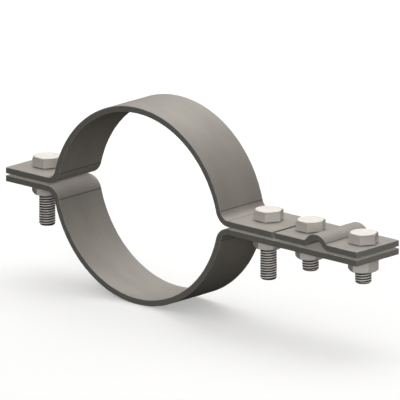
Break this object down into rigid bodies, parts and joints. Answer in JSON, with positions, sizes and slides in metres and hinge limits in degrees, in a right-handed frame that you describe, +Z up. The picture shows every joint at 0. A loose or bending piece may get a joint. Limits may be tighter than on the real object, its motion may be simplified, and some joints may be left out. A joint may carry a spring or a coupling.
{
  "type": "downpipe clamp",
  "caption": "Two-part bent strip clamp that bolts round a downpipe, with a straight tongue and a humped plate that clamps a round lightning conductor.",
  "frame": {"origin": "centre of the ring, on the mid-plane between the two halves and half way across the strip", "axes": "+X along the flanges towards the tongue, +Y along the pipe's axis, +Z up along the bolts, out of their heads"},
  "size_m": [0.2272, 0.03, 0.0974],
  "materials": {
    "strip_steel": "matt warm grey steel strip",
    "fastener_steel": "bright satin steel"
  },
  "bodies": {
    "lower": {"lower_half": "strip_steel", "ring_nut_left": "fastener_steel", "ring_nut_right": "fastener_steel", "conductor_nut_inner": "fastener_steel", "conductor_nut_outer": "fastener_steel"},
    "upper": {"upper_half": "strip_steel"},
    "plate": {"conductor_plate": "strip_steel"},
    "ring_bolt_left": {"ring_bolt_left": "fastener_steel"},
    "ring_bolt_right": {"ring_bolt_right": "fastener_steel"},
    "conductor_bolt_inner": {"conductor_bolt_inner": "fastener_steel"},
    "conductor_bolt_outer": {"conductor_bolt_outer": "fastener_steel"}
  },
  "joints": [
    {"name": "upper_half_lift", "type": "slide", "parent": "lower", "child": "upper", "axis": [0, 0, 1], "range_m": [-0.00087, 0.01375]},
    {"name": "ring_bolt_left_turn", "type": "hinge", "parent": "upper", "child": "ring_bolt_left", "pos_m": [-0.07274, 0, 0.0035], "axis": [0, 0, 1], "range_deg": [-250, 3961]},
    {"name": "ring_bolt_right_turn", "type": "hinge", "parent": "upper", "child": "ring_bolt_right", "pos_m": [0.07124, 0, 0.0035], "axis": [0, 0, 1], "range_deg": [-250, 3961]},
    {"name": "conductor_plate_lift", "type": "slide", "parent": "lower", "child": "plate", "axis": [0, 0, 1], "range_m": [-0.00087, 0.005]},
    {"name": "conductor_bolt_inner_turn", "type": "hinge", "parent": "plate", "child": "conductor_bolt_inner", "pos_m": [0.09824, 0, 0.0035], "axis": [0, 0, 1], "range_deg": [-250, 1441]},
    {"name": "conductor_bolt_outer_turn", "type": "hinge", "parent": "plate", "child": "conductor_bolt_outer", "pos_m": [0.13199, 0, 0.0035], "axis": [0, 0, 1], "range_deg": [-250, 1441]}
  ],
  "couplings": [
    {"joint": "ring_bolt_left_turn", "follows": "upper_half_lift", "rad_per_m": 5026.5},
    {"joint": "ring_bolt_right_turn", "follows": "upper_half_lift", "rad_per_m": 5026.5},
    {"joint": "conductor_bolt_inner_turn", "follows": "conductor_plate_lift", "rad_per_m": 5026.5},
    {"joint": "conductor_bolt_outer_turn", "follows": "conductor_plate_lift", "rad_per_m": 5026.5}
  ]
}
